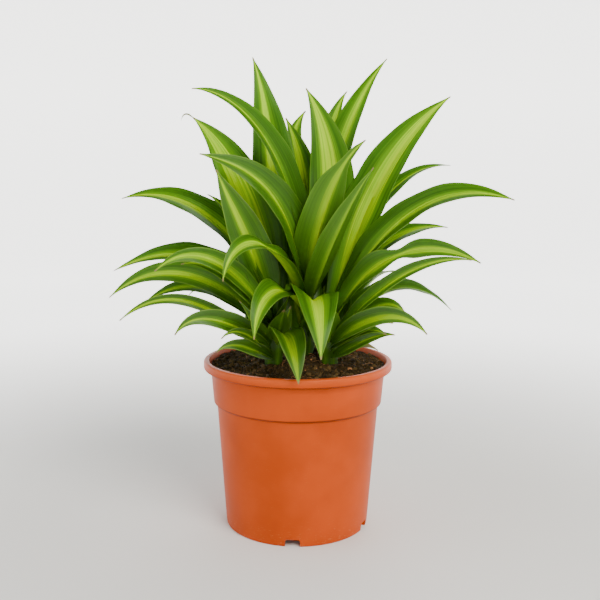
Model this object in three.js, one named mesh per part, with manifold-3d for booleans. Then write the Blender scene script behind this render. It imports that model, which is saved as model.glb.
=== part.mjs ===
// A potted dracaena: a round plastic nursery pot filled with soil, and three short leafy stems
// standing in the soil. Millimetres, +Z up, origin under the middle of the pot's foot.
// The front of the plant looks towards -Y.
import * as THREE from "three";
import { mergeVertices } from "three/addons/utils/BufferGeometryUtils.js";
import Module from "manifold-3d";

const wasm = await Module();
wasm.setup();

// ---- driving dimensions ----

const GAP = 0.3; // room between two pieces that touch
const SIDES = 32; // sides of the pot and of the soil
const HOLE_SIDES = 12;

const POT = {
  height: 169.4,
  footRadius: 72.6,
  footBevel: 1.6,
  footWidth: 6.5, // the ring that the pot stands on
  floorUnder: 8.5,
  floorThick: 2,
  wall: 1.6,
  stepHeight: 126.7, // where the body meets the wider collar
  bodyTopRadius: 81.8,
  collarLowRadius: 84.9,
  collarTopRadius: 87.9,
  lipRadius: 95,
  lipHeight: 8.8,
  lipInnerRadius: 89.7,
  lipRound: 2.2,
  lipInnerSlope: 1, // width of the slope inside the lip's top
  shoulder: 0.8, // the small slopes under the lip and at the step
};

const DRAIN = {
  notchesAt: [-93, -22, 87, 158], // degrees round the foot, in two opposite pairs
  width: 14.6,
  height: 7.4,
  cornerRadius: 2.5,
  cornerSteps: 3,
  floorHoleRadius: 4.5,
  floorHolesAt: 50, // radius of their ring
  floorHoleTurn: 40, // degrees from a notch to the next floor hole
};

const SOIL = {
  wallGap: 0.5,
  edgeGap: 1.2, // the surface shrinks from the wall a little more
  edge: 164.2, // height at the wall
  mound: 8.5, // rise towards the stems
  moundAt: [4, 8],
  moundTop: 12, // radius of its top
  moundFoot: 82,
  bump: 0.9, // unevenness of the surface
  rings: 5,
};
const LUMPS = { wide: [0.23, 0.19], fine: [0.11, -0.37], fineShare: 0.6, start: 1.3 }; // waves per mm

const STEM = {
  radius: 8.5,
  buried: 118, // height of the buried end
  neck: 173, // the leaf bases swell the stem above this height
  swell: 188,
  swellRadius: 11.5,
  crownRadius: 5,
  sides: 12,
};

const BLADE = {
  edgeThick: 0.8,
  ribThick: 1.3,
  stationSpacing: 36, // along the leaf
  fewestStations: 4,
  widestAt: 0.42, // share of the length
  baseShare: 0.4, // width at the root, as a share of the full width
  tipHalfWidth: 0.5,
  taper: 1.15,
  wave: 0.03, // rise and fall of the margins, as a share of the width
  waves: 2.2,
  nextPhase: 2.4, // how much later the waves start on each next leaf
  // how steeply the two halves of a blade rise from its rib, in degrees, from root to tip
  gutter: [[0, 70], [0.25, 38], [0.6, 24], [1, 12]],
};

// Each leafy stem: where it stands, how high its crown is, and its leaves. A leaf is
// [height of its root, first handle, second handle, tip, width, facing]: its rib is the cubic
// curve from the stem's axis through the two handles to the tip, and facing is the compass
// direction in degrees that its back looks to at the root (0 = +X, 90 = +Y).
const STEMS = {
  leafy_stem_left: {
    at: [-24, -22],
    crown: 216,
    turn: 20,
    open: 205,
    leaves: [
      [214, [-23, 4, 295], [-24, 12, 407], [-47, 20, 468], 52, 105],
      [214, [-38, -6, 303], [-64, -26, 378], [-99, -40, 405], 60, 120],
      [208, [-40, -28, 282], [-61, -55, 320], [-75, -65, 357], 42, 112],
      [205, [-45, -25, 286], [-66, -30, 324], [-87, -30, 334], 32, 150],
      [208, [-38, -15, 266], [-95, -10, 352], [-174, -5, 329], 43, 138],
      [204, [-49, 5, 247], [-108, 15, 298], [-189, 20, 255], 38, 126],
      [202, [-45, -50, 258], [-92, -70, 304], [-129, -85, 266], 23, 138],
      [196, [-45, -20, 227], [-121, -10, 293], [-190, 0, 230], 28, 122],
      [200, [-41, -45, 240], [-78, -55, 280], [-109, -60, 270], 22, 140],
      [192, [-48, -10, 219], [-99, 5, 269], [-158, 10, 222], 23, 128],
      [188, [-48, -40, 192], [-107, -45, 272], [-168, -55, 216], 13, 138],
      [183, [-45, -60, 208], [-92, -80, 243], [-111, -90, 209], 22, 146],
      [178, [-43, -60, 204], [-58, -75, 219], [-70, -80, 204], 12, 150],
      [173, [-40, -60, 190], [-61, -72, 206], [-75, -78, 191], 16, 155],
      [184, [-15, -55, 205], [-5, -90, 222], [1, -104, 168], 33, 285],
      [172, [-18, -28, 195], [-11, -33, 212], [-7, -34, 228], 24, 300],
      // behind
      [206, [-40, 20, 255], [-70, 80, 290], [-88, 110, 250], 26, 120],
      [200, [-30, 30, 250], [-40, 95, 290], [-48, 132, 240], 28, 95],
      [190, [-45, 10, 215], [-85, 45, 260], [-118, 60, 225], 22, 140],
      [180, [-35, 15, 195], [-50, 65, 225], [-60, 95, 192], 20, 110],
    ],
  },
  leafy_stem_right: {
    at: [31, -20],
    crown: 216,
    turn: 75,
    open: 335,
    leaves: [
      [214, [59, 7, 300], [81, -5, 384], [142, -25, 427], 52, 58],
      [205, [54, 18, 297], [97, 25, 369], [154, 30, 364], 36, 44],
      [205, [52, -15, 252], [104, -50, 366], [190, -90, 332], 39, 25],
      [200, [52, 0, 260], [96, 0, 310], [147, -5, 303], 37, 38],
      [196, [51, -40, 266], [105, -80, 310], [158, -110, 278], 29, 28],
      [192, [51, -50, 220], [95, -90, 289], [149, -115, 281], 16, 25],
      [188, [54, -5, 217], [101, 0, 272], [155, 5, 219], 34, 34],
      [184, [53, -30, 209], [82, -45, 248], [101, -50, 225], 26, 12],
      [182, [50, -65, 217], [89, -90, 246], [115, -100, 213], 22, 15],
      [180, [45, -50, 200], [67, -60, 223], [89, -60, 216], 18, 5],
      [178, [45, -40, 198], [66, -55, 218], [83, -60, 205], 17, 5],
      [174, [45, -45, 183], [68, -55, 209], [91, -60, 205], 16, 5],
      [172, [46, -25, 181], [60, -35, 197], [78, -35, 185], 11, 0],
      [172, [24, -26, 195], [17, -33, 212], [13, -35, 226], 24, 240],
      // behind
      [206, [50, 20, 255], [78, 80, 290], [94, 112, 252], 26, 60],
      [200, [31, 20, 247], [42, 92, 292], [50, 134, 245], 28, 85],
      [190, [55, 10, 225], [88, 45, 272], [112, 60, 245], 22, 40],
      [180, [45, 15, 200], [62, 65, 232], [70, 95, 200], 20, 70],
    ],
  },
  leafy_stem_centre: {
    at: [7, 10],
    crown: 226,
    turn: 130,
    open: 80,
    leaves: [
      [222, [4, -24, 366], [-50, -40, 433], [-97, -60, 429], 37, 148],
      [216, [-3, -36, 338], [-37, -58, 361], [-90, -65, 371], 40, 140],
      [222, [45, 9, 309], [34, 5, 392], [6, 5, 437], 54, 100],
      [225, [32, 25, 328], [36, 30, 411], [87, 30, 469], 38, 60],
      [222, [24, 50, 338], [27, 60, 414], [49, 60, 440], 43, 85],
      [222, [-7, 40, 328], [-20, 50, 388], [6, 50, 419], 46, 105],
      [222, [13, 20, 323], [3, 25, 378], [-14, 25, 410], 44, 100],
      [212, [13, -44, 284], [25, -49, 358], [61, -50, 385], 45, 278],
      [205, [23, -56, 275], [47, -58, 330], [68, -60, 360], 30, 290],
      [206, [-10, -54, 300], [-59, -105, 314], [-65, -115, 261], 30, 210],
      [204, [2, -46, 250], [-38, -102, 268], [-38, -115, 210], 36, 240],
      [204, [11, -50, 241], [17, -115, 263], [20, -135, 197], 50, 270],
      // behind
      [218, [0, 55, 300], [-10, 105, 350], [-20, 135, 330], 30, 90],
      [214, [14, 50, 290], [24, 105, 330], [30, 135, 300], 30, 85],
      [210, [19, 50, 284], [55, 100, 320], [70, 125, 290], 27, 60],
      [210, [-12, 45, 285], [-50, 95, 330], [-70, 125, 300], 28, 120],
      [205, [5, 45, 240], [2, 90, 265], [0, 120, 215], 28, 90],
      [222, [-5, 40, 310], [-20, 95, 375], [-35, 125, 360], 28, 100],
      [224, [18, 35, 320], [30, 80, 385], [40, 105, 385], 28, 80],
      // close inside
      [200, [-7, 34, 250], [-15, 58, 285], [-20, 72, 302], 27, 105],
      [205, [11, 44, 250], [16, 72, 285], [18, 84, 302], 26, 80],
      [178, [2, 0, 215], [-6, -6, 245], [-16, -6, 280], 32, 95],
    ],
  },
};

// Short broad leaves that clasp each stem's foot, in the turn that dracaena leaves grow in.
const CLASP = {
  count: 6,
  turn: 137.5,
  lowest: 8, // root of the first one above the soil's edge
  rise: 3,
  length: 46,
  lengthStep: 1,
  spread: 38, // how far the tips lean out
  crowded: 13, // the same, towards the other stems
  width: 28,
  baseShare: 0.8,
  gutter: [[0, 45], [0.25, 38], [0.6, 24], [1, 12]],
};

const COLOUR = {
  pot: 0xc8673a,
  soil: 0x3a2a1e,
  leaf: 0x5d8f22,
};

// ---- helpers ----

const radians = THREE.MathUtils.degToRad;

const smooth = (low, high, value) => THREE.MathUtils.smoothstep(value, low, high);

/** The closed solid of a geometry, from its positions only. */
function solidOf(geometry) {
  const bare = geometry.clone();
  for (const name of Object.keys(bare.attributes)) {
    if (name !== "position") bare.deleteAttribute(name);
  }
  const merged = mergeVertices(bare, 1e-4);
  const vertProperties = new Float32Array(merged.attributes.position.array);
  const triVerts = new Uint32Array(dropFlat(merged.index.array));
  return new wasm.Manifold(new wasm.Mesh({ numProp: 3, vertProperties, triVerts }));
}

/** Triangles with three different corners: a lathe leaves flat ones on its axis. */
function dropFlat(index) {
  const kept = [];
  for (let i = 0; i < index.length; i += 3) {
    const [a, b, c] = [index[i], index[i + 1], index[i + 2]];
    if (a !== b && b !== c && c !== a) kept.push(a, b, c);
  }
  return kept;
}

/** Every shell of a solid, as its own list of triangles. */
function shellsOf({ vertProperties, triVerts }) {
  const owner = Array.from({ length: vertProperties.length / 3 }, (_, vertex) => vertex);
  const find = (vertex) => {
    let top = vertex;
    while (owner[top] !== top) top = owner[top];
    owner[vertex] = top;
    return top;
  };
  for (let i = 0; i < triVerts.length; i += 3) {
    owner[find(triVerts[i])] = find(triVerts[i + 1]);
    owner[find(triVerts[i + 1])] = find(triVerts[i + 2]);
  }
  const shells = new Map();
  for (let i = 0; i < triVerts.length; i += 3) {
    const key = find(triVerts[i]);
    if (!shells.has(key)) shells.set(key, []);
    shells.get(key).push(triVerts[i], triVerts[i + 1], triVerts[i + 2]);
  }
  return [...shells.values()];
}

/** The outer skin of a solid: pockets closed off inside it are filled. */
function outerSkin(mesh) {
  const size = (shell) => Math.abs(volumeInside(mesh.vertProperties, shell));
  return shellsOf(mesh).reduce((best, shell) => (size(shell) > size(best) ? shell : best));
}

function volumeInside(coordinates, triangles) {
  const corner = (vertex) => new THREE.Vector3().fromArray(coordinates, 3 * vertex);
  let volume = 0;
  for (let i = 0; i < triangles.length; i += 3) {
    const [a, b, c] = [0, 1, 2].map((k) => corner(triangles[i + k]));
    volume += a.dot(b.cross(c)) / 6;
  }
  return volume;
}

/** A named mesh of a solid. */
function meshOf(name, solid, material) {
  const mesh = solid.getMesh();
  const geometry = new THREE.BufferGeometry();
  const positions = new THREE.BufferAttribute(new Float32Array(mesh.vertProperties), 3);
  geometry.setAttribute("position", positions);
  geometry.setIndex(outerSkin(mesh));
  const bare = mergeVertices(geometry.toNonIndexed(), 1e-5);
  bare.computeVertexNormals();
  const piece = new THREE.Mesh(bare, material);
  piece.name = name;
  return piece;
}

/** A solid of revolution about Z from a profile of [radius, height] points, lowest first. */
function turned(profile, sides) {
  const points = profile.map(([radius, height]) => new THREE.Vector2(radius, height));
  return solidOf(new THREE.LatheGeometry(points, sides).rotateX(Math.PI / 2));
}

// ---- the pot ----

/** Radius of the pot's outer wall at a height, without its lip. */
function outerRadius(height) {
  if (height <= POT.stepHeight) {
    return THREE.MathUtils.mapLinear(height, 0, POT.stepHeight, POT.footRadius, POT.bodyTopRadius);
  }
  const lipUnder = POT.height - POT.lipHeight;
  return THREE.MathUtils.mapLinear(
    height, POT.stepHeight, lipUnder, POT.collarLowRadius, POT.collarTopRadius,
  );
}

/** Radius of the pot's inner wall at a height. */
function innerRadius(height) {
  const lipUnder = POT.height - POT.lipHeight;
  if (height > lipUnder) {
    return THREE.MathUtils.mapLinear(
      height, lipUnder, POT.height, outerRadius(lipUnder) - POT.wall, POT.lipInnerRadius,
    );
  }
  return outerRadius(height) - POT.wall;
}

/** The outside corner of the lip, rounded. */
function lipCorner(centreHeight, from, to) {
  const steps = 2;
  const points = [];
  for (let i = 0; i <= steps; i += 1) {
    const angle = radians(THREE.MathUtils.lerp(from, to, i / steps));
    const radius = POT.lipRadius - POT.lipRound + POT.lipRound * Math.cos(angle);
    points.push([radius, centreHeight + POT.lipRound * Math.sin(angle)]);
  }
  return points;
}

function potSolid() {
  const { height, footRadius, footBevel, footWidth, floorUnder, floorThick } = POT;
  const { stepHeight, shoulder } = POT;
  const lipUnder = height - POT.lipHeight;
  const ledge = POT.wall; // the step's floor, seen from inside
  const profile = [
    [0, floorUnder],
    [footRadius - footWidth, floorUnder],
    [footRadius - footWidth, 0],
    [footRadius - footBevel, 0],
    [outerRadius(footBevel), footBevel],
    [outerRadius(stepHeight - shoulder), stepHeight - shoulder],
    [outerRadius(stepHeight) + shoulder / 2, stepHeight],
    [POT.collarLowRadius, stepHeight + shoulder],
    [POT.collarTopRadius, lipUnder - shoulder],
    [POT.collarTopRadius + shoulder, lipUnder],
    ...lipCorner(lipUnder + POT.lipRound, -90, 0),
    ...lipCorner(height - POT.lipRound, 0, 90),
    [POT.lipInnerRadius + POT.lipInnerSlope, height],
    [POT.lipInnerRadius, height - shoulder],
    [innerRadius(lipUnder), lipUnder],
    [POT.collarLowRadius - POT.wall, stepHeight + ledge],
    [POT.bodyTopRadius - POT.wall, stepHeight - ledge],
    [innerRadius(floorUnder + floorThick), floorUnder + floorThick],
    [0, floorUnder + floorThick],
  ];
  let pot = turned(profile, SIDES);
  for (const at of DRAIN.notchesAt) {
    pot = pot.subtract(notchCutter(radians(at)));
    pot = pot.subtract(floorHole(radians(at + DRAIN.floorHoleTurn)));
  }
  return pot;
}

/** An arch-topped block that cuts one drain notch through the foot. */
function notchCutter(turn) {
  const half = DRAIN.width / 2;
  const round = DRAIN.cornerRadius;
  const spare = POT.footWidth / 2; // the block reaches this far out of the foot
  const outline = new THREE.Shape();
  outline.moveTo(-half, -spare);
  outline.lineTo(half, -spare);
  outline.lineTo(half, DRAIN.height - round);
  outline.absarc(half - round, DRAIN.height - round, round, 0, Math.PI / 2);
  outline.absarc(round - half, DRAIN.height - round, round, Math.PI / 2, Math.PI);
  outline.closePath();
  const block = new THREE.ExtrudeGeometry(outline, {
    depth: POT.footWidth + 2 * spare,
    bevelEnabled: false,
    curveSegments: DRAIN.cornerSteps,
  });
  block.rotateX(Math.PI / 2).rotateZ(Math.PI / 2);
  block.translate(POT.footRadius - POT.footWidth - spare, 0, 0);
  return solidOf(block.rotateZ(turn));
}

function floorHole(turn) {
  const radius = DRAIN.floorHoleRadius;
  const deep = 3 * POT.floorThick; // out of both faces of the floor
  const hole = new THREE.CylinderGeometry(radius, radius, deep, HOLE_SIDES);
  hole.rotateX(Math.PI / 2);
  hole.translate(DRAIN.floorHolesAt, 0, POT.floorUnder + POT.floorThick / 2);
  return solidOf(hole.rotateZ(turn));
}

// ---- the soil ----

/** Height of the soil's surface: a low mound round the stems, and small lumps. */
function soilHeight(x, y) {
  const fromMiddle = Math.hypot(x - SOIL.moundAt[0], y - SOIL.moundAt[1]);
  const mound = SOIL.mound * (1 - smooth(SOIL.moundTop, SOIL.moundFoot, fromMiddle));
  const { wide, fine, fineShare, start } = LUMPS;
  const low = Math.sin(x * wide[0] + start) * Math.cos(y * wide[1]);
  const high = fineShare * Math.sin(x * fine[0] + y * fine[1]);
  return SOIL.edge + mound + SOIL.bump * (low + high);
}

function soilSolid() {
  const floor = POT.floorUnder + POT.floorThick + GAP;
  const sides = [
    [floor, innerRadius(floor)],
    [POT.stepHeight - POT.wall - GAP, POT.bodyTopRadius - POT.wall],
    [POT.stepHeight + POT.wall + GAP, POT.collarLowRadius - POT.wall],
  ];
  const rings = sides.map(([height, radius]) => ringAt(radius - SOIL.wallGap, () => height));
  const edgeRadius = innerRadius(SOIL.edge) - SOIL.edgeGap;
  for (let i = 0; i < SOIL.rings; i += 1) {
    rings.push(ringAt(edgeRadius * (1 - i / SOIL.rings), soilHeight));
  }
  const top = [0, 0, soilHeight(0, 0)];
  let soil = ringedSolid(rings, [0, 0, floor], top);
  for (const { at } of Object.values(STEMS)) {
    soil = soil.subtract(stemHole(at));
  }
  return soil;
}

/** One ring of points at a radius, each at the height that the rule gives. */
function ringAt(radius, heightRule) {
  const ring = [];
  for (let i = 0; i < SIDES; i += 1) {
    const angle = (2 * Math.PI * i) / SIDES;
    const x = radius * Math.cos(angle);
    const y = radius * Math.sin(angle);
    ring.push([x, y, heightRule(x, y)]);
  }
  return ring;
}

/** A closed solid through rings of equal length, from a point below to a point above. */
function ringedSolid(rings, bottom, top) {
  const count = rings[0].length;
  const points = [bottom, ...rings.flat(), top];
  const last = points.length - 1;
  const faces = [];
  for (let i = 0; i < count; i += 1) {
    const j = (i + 1) % count;
    faces.push([0, 1 + j, 1 + i]);
    for (let level = 0; level + 1 < rings.length; level += 1) {
      const low = 1 + level * count;
      const high = low + count;
      faces.push([low + i, low + j, high + j], [low + i, high + j, high + i]);
    }
    const high = 1 + (rings.length - 1) * count;
    faces.push([high + i, high + j, last]);
  }
  return solidOf(indexed(points, faces));
}

function indexed(points, faces) {
  const geometry = new THREE.BufferGeometry();
  geometry.setAttribute("position", new THREE.Float32BufferAttribute(points.flat(), 3));
  geometry.setIndex(faces.flat());
  return geometry;
}

/** The plain hole in the soil that a stem stands in. */
function stemHole([x, y]) {
  const above = POT.height + SOIL.mound; // clear of the mound's top
  const low = STEM.buried - GAP;
  const radius = STEM.radius + GAP;
  const hole = new THREE.CylinderGeometry(radius, radius, above - low, 2 * STEM.sides);
  return solidOf(hole.rotateX(Math.PI / 2).translate(x, y, (above + low) / 2));
}

// ---- the leafy stems ----

/** Value at a place along a list of [place, value] pairs. */
function along(pairs, place) {
  for (let i = 1; i < pairs.length; i += 1) {
    const [from, low] = pairs[i - 1];
    const [to, high] = pairs[i];
    if (place <= to) return THREE.MathUtils.mapLinear(place, from, to, low, high);
  }
  return pairs.at(-1)[1];
}

/** Half the width of a blade at a place along it. */
function halfWidth(width, place, baseShare) {
  const { widestAt, taper, tipHalfWidth } = BLADE;
  if (place < widestAt) {
    return (width / 2) * THREE.MathUtils.lerp(baseShare, 1, smooth(0, widestAt, place));
  }
  const past = (place - widestAt) / (1 - widestAt);
  return Math.max(tipHalfWidth, (width / 2) * (1 - past * past) ** taper);
}

/**
 * One blade: a long gutter along its rib, widest before the middle and drawn out to a tip.
 * A clasping leaf brings its own foot: the share of its width at the root, and its gutter.
 */
function leafSolid([x, y], leaf, phase) {
  const [rootHeight, handle1, handle2, tip, width, facing, foot = BLADE] = leaf;
  const root = new THREE.Vector3(x, y, rootHeight);
  const handles = [handle1, handle2, tip].map((point) => new THREE.Vector3(...point));
  const rib = new THREE.CubicBezierCurve3(root, ...handles);
  const stations = Math.max(
    BLADE.fewestStations, Math.round(rib.getLength() / BLADE.stationSpacing),
  );
  let back = new THREE.Vector3(Math.cos(radians(facing)), Math.sin(radians(facing)), 0);
  const points = [];
  for (let i = 0; i <= stations; i += 1) {
    const place = i / stations;
    const on = rib.getPointAt(place);
    const ahead = rib.getTangentAt(place);
    back = back.addScaledVector(ahead, -back.dot(ahead)).normalize();
    const across = ahead.clone().cross(back);
    const half = halfWidth(width, place, foot.baseShare);
    const lean = radians(along(foot.gutter, place));
    const sway = BLADE.wave * width * Math.sin(Math.PI * place);
    points.push(...section(on, across, back, half, lean, sway, place, phase));
  }
  return solidOf(indexed(points, bladeFaces(stations)));
}

/** Six corners of a blade's cross-section: its upper face from edge to edge, then its back. */
function section(on, across, back, half, lean, sway, place, phase) {
  const upper = [];
  const under = [];
  for (const side of [-1, 0, 1]) {
    const ripple = side * sway * Math.sin(2 * Math.PI * BLADE.waves * place + phase + side);
    const point = on.clone();
    point.addScaledVector(across, side * half * Math.cos(lean));
    point.addScaledVector(back, -Math.abs(side) * half * Math.sin(lean) + ripple);
    const thick = side === 0 ? BLADE.ribThick : BLADE.edgeThick;
    upper.push(point.clone().addScaledVector(back, -thick / 2).toArray());
    under.unshift(point.addScaledVector(back, thick / 2).toArray());
  }
  return [...upper, ...under];
}

/** Faces of a blade of six-cornered sections, both sides of it split alike. */
function bladeFaces(stations) {
  const corners = 6;
  const faces = [];
  for (let i = 0; i < stations; i += 1) {
    const near = i * corners;
    const far = near + corners;
    for (const [a, b] of [[0, 1], [2, 3], [4, 5]]) {
      faces.push([near + a, far + b, near + b], [near + a, far + a, far + b]);
    }
    for (const [a, b] of [[1, 2], [3, 4], [5, 0]]) {
      faces.push([near + a, far + a, near + b], [near + b, far + a, far + b]);
    }
  }
  const end = stations * corners;
  const cap = [[0, 1, 4], [0, 4, 5], [1, 2, 3], [1, 3, 4]];
  for (const [a, b, c] of cap) {
    faces.push([a, b, c], [end + a, end + c, end + b]);
  }
  return faces;
}

/** The short leaves that clasp a stem's foot, upright where they face another stem. */
function claspingLeaves([x, y], turn, open) {
  const leaves = [];
  for (let i = 0; i < CLASP.count; i += 1) {
    const facing = turn + i * CLASP.turn;
    const root = SOIL.edge + CLASP.lowest + i * CLASP.rise;
    const length = CLASP.length + i * CLASP.lengthStep;
    const room = 0.5 + 0.5 * Math.cos(radians(facing - open));
    const spread = THREE.MathUtils.lerp(CLASP.crowded, CLASP.spread, room);
    const away = (share, height) => [
      x + share * spread * Math.cos(radians(facing)),
      y + share * spread * Math.sin(radians(facing)),
      root + height * length,
    ];
    const shape = [away(0.45, 0.02), away(0.6, 0.6), away(1, 1)];
    leaves.push([root, ...shape, CLASP.width, facing, CLASP]);
  }
  return leaves;
}

/** A stem with its leaves grown into it. */
function leafyStem({ at, crown, turn, open, leaves }) {
  const { radius, buried, neck, swell, swellRadius, crownRadius, sides } = STEM;
  const profile = [
    [0, buried],
    [radius, buried],
    [radius, neck],
    [swellRadius, swell],
    [crownRadius, crown],
    [0, crown + crownRadius],
  ];
  let stem = turned(profile, sides).translate([...at, 0]);
  [...leaves, ...claspingLeaves(at, turn, open)].forEach((leaf, index) => {
    stem = stem.add(leafSolid(at, leaf, BLADE.nextPhase * index));
  });
  return stem;
}

// ---- the object ----

const potMaterial = new THREE.MeshStandardMaterial({ color: COLOUR.pot, roughness: 0.5 });
const soilMaterial = new THREE.MeshStandardMaterial({ color: COLOUR.soil, roughness: 0.95 });
const leafMaterial = () => new THREE.MeshStandardMaterial({ color: COLOUR.leaf, roughness: 0.45 });

const plant = new THREE.Group();
plant.add(meshOf("pot", potSolid(), potMaterial));
plant.add(meshOf("soil", soilSolid(), soilMaterial));
for (const [name, stem] of Object.entries(STEMS)) {
  plant.add(meshOf(name, leafyStem(stem), leafMaterial()));
}

export default plant;
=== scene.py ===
"""A potted dracaena, dressed for close viewing.

A round plastic nursery pot is filled with peat, and three leafy stems stand in it. Their long
strap leaves have a dark green margin and a lime stripe down the middle. The script makes the pot,
the peat with its crumbs and fibres, the three leafy stems, the floor, the lights and the camera.
"""

import math
import random
from collections import namedtuple

import bmesh
import bpy
import numpy as np
from mathutils import Matrix, Vector, noise


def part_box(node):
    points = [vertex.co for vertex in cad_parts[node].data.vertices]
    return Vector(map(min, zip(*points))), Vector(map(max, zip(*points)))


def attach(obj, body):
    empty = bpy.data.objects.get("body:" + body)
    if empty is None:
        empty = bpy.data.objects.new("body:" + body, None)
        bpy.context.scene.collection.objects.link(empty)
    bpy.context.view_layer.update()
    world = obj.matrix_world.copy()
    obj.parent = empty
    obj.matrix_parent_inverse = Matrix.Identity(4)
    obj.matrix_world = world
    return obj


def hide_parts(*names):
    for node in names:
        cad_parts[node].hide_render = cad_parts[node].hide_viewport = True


bl_info = {
    "name": "Potted Dracaena",
    "version": (1, 0, 0),
    "blender": (4, 5, 0),
    "location": "View3D > Sidebar > Dracaena",
    "description": "Dresses the frame of a striped dracaena in a plastic nursery pot",
    "category": "Object",
}

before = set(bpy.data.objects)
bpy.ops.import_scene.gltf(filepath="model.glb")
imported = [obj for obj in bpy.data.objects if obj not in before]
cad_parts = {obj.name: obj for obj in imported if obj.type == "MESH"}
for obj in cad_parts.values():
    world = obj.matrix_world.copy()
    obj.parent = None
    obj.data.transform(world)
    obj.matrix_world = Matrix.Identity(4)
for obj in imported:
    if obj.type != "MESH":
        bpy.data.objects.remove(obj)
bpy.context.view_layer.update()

MM = 0.001
ROOT = "root"


def linear(red, green, blue):
    """A colour given as it looks on a screen, 0 to 255, in linear light."""
    shares = [value / 255 for value in (red, green, blue)]
    return tuple(s / 12.92 if s <= 0.04045 else ((s + 0.055) / 1.055) ** 2.4 for s in shares)


def toned(colour, factor, lift=0):
    """A colour made darker or paler, by one factor or by one for each channel."""
    return tuple(np.minimum(1, np.multiply(colour, factor) + lift))


def with_alpha(colour):
    return (*colour, 1.0)


# ---- sizes in millimetres, as the frame has them ----

POT_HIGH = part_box("pot")[1]
POT_HEIGHT = POT_HIGH.z / MM
LIP_RADIUS = POT_HIGH.x / MM
FOOT_RADIUS = 72.6
FOOT_WIDTH = 6.5
FLOOR_UNDER = 8.5
FLOOR_TOP = 10.5
WALL = 1.6
STEP_HEIGHT = 126.7
BODY_TOP_RADIUS = 81.8
COLLAR_LOW_RADIUS = 84.9
COLLAR_TOP_RADIUS = 87.9
LIP_HEIGHT = 8.8
LIP_INNER_RADIUS = 89.7
LIP_ROUND = 2.2
LIP_UNDER = POT_HEIGHT - LIP_HEIGHT
# Radii of the pot's small rounds, from the foot up.
FOOT_BEVEL = 1.4
FOOT_INNER_BEVEL = 0.6
FLOOR_FILLET = 1.2
STEP_FILLET = 2.2
STEP_BEVEL = 1.0
LIP_FILLET = 1.1
FLOOR_ROUND = 2

NOTCHES_AT = (-93, -22, 87, 158)
NOTCH_WIDTH = 14.6
NOTCH_HEIGHT = 7.4
NOTCH_CORNER = 2.5
FLOOR_HOLE_RADIUS = 4.5
FLOOR_HOLES_AT = 50
FLOOR_HOLE_TURN = 40

GAP = 0.3
SOIL_EDGE = 164.2
SOIL_EDGE_GAP = 1.2
SOIL_WALL_GAP = 0.5
SOIL_FOOT_RISE = 4
SOIL_FOOT_INSET = 2
MOUND = 8.5
MOUND_AT = (4, 8)
MOUND_TOP = 12
MOUND_FOOT = 82
SOIL_BUMP = 0.9

STEM_RADIUS = 8.5
STEM_SIDES = 32
STEM_BURIED = 118
STEM_NECK = 173
STEM_STRAIGHT_AT = (140, 160, 166)
STEM_SWELL = 188
STEM_SWELL_RADIUS = 11.5
CROWN_RADIUS = 5

# Rings that old leaves left on a stem: how many edges, how high the first, their spacing and depth.
SCAR_EDGES = 5
SCARS_FROM = 168
SCAR_STEP = 1.6
SCAR_DEPTH = 0.35

# Where the points of a blade's cross-section lie from edge to edge, closer near the edges.
ACROSS = tuple(math.sin(math.pi / 2 * i / 6) for i in range(-6, 7))
# How steeply the two halves of a blade rise from its rib, in degrees, from root to tip.
GUTTER = ((0, 70), (0.25, 38), (0.6, 24), (1, 12))
# How much the halves bulge.
BELLY = 0.16
# Where along it a blade is widest, its width at the root as a share of that, how it tapers to its
# tip, and how far a pinch reaches along it.
WIDEST_AT = 0.42
BASE_SHARE = 0.4
TAPER = 1.15
TIP_HALF_WIDTH = 0.5
PINCH_REACH = 0.07
# The slow waves of its edges and the finer puckers: how high, as a share of its width, and how many.
WAVE = 0.03
WAVES = 2.2
PUCKER = 0.014
PUCKERS = 5.3
# How far, in radians, each blade's waves are shifted from those of the one before.
NEXT_PHASE = 2.4
# How thin a blade gets at its tip, as a share of its thickness.
THINNEST = 0.35
# The keel under its rib and the groove above: how high, and how far each reaches to the side.
KEEL = 0.7
KEEL_REACH = 1.3
GROOVE = 0.25
GROOVE_REACH = 1.1
# The brown tip: its least length, what a curled tip has, and what the draw adds at most.
DRY_LEAST = 0.3
DRY_CURLED = 4
DRY_DRAWN = 2.4
# A root at this height is young, and one lower by this much is old.
YOUNG_ROOT = 212
AGES_OVER = 50

# The dried thread at the tip of some leaves, broader than it is thick.
CURL_TURN = math.radians(110)
CURL_RADIUS = 1.6
CURL_BROAD = 1.3
CURL_FLAT = 0.45
CURL_OVERLAP = 1.2
CURL_STEPS = 12
CURL_SIDES = 8

# A leaf's rib is the cubic curve from the stem's axis, at the height of its root, through two
# handles to its tip. Facing is the compass direction in degrees that its back looks to at the root.
# Lime widens or narrows its stripe. Shaded is how far up it the crown's shade reaches, as a share.
# Age darkens it, from 0 to 1, and comes from the height of its root where it isn't given. Curl is
# the length of a dried thread at its tip. Pinch is a place where it is drawn in, and by what share.
# A withered leaf is dry nearly from its root. Clasps marks the short leaves at a stem's foot.
Leaf = namedtuple(
    "Leaf",
    "root handle1 handle2 tip width facing lime shaded age curl pinch withered clasps",
    defaults=(1.0, 0.6, None, 0, (0, 0), False, False),
)
# A stem stands upright at a place, and its crown is its height. The first of its clasping leaves
# faces its turn, and those on its open side spread out.
Stem = namedtuple("Stem", "at crown turn open_side leaves")

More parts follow.
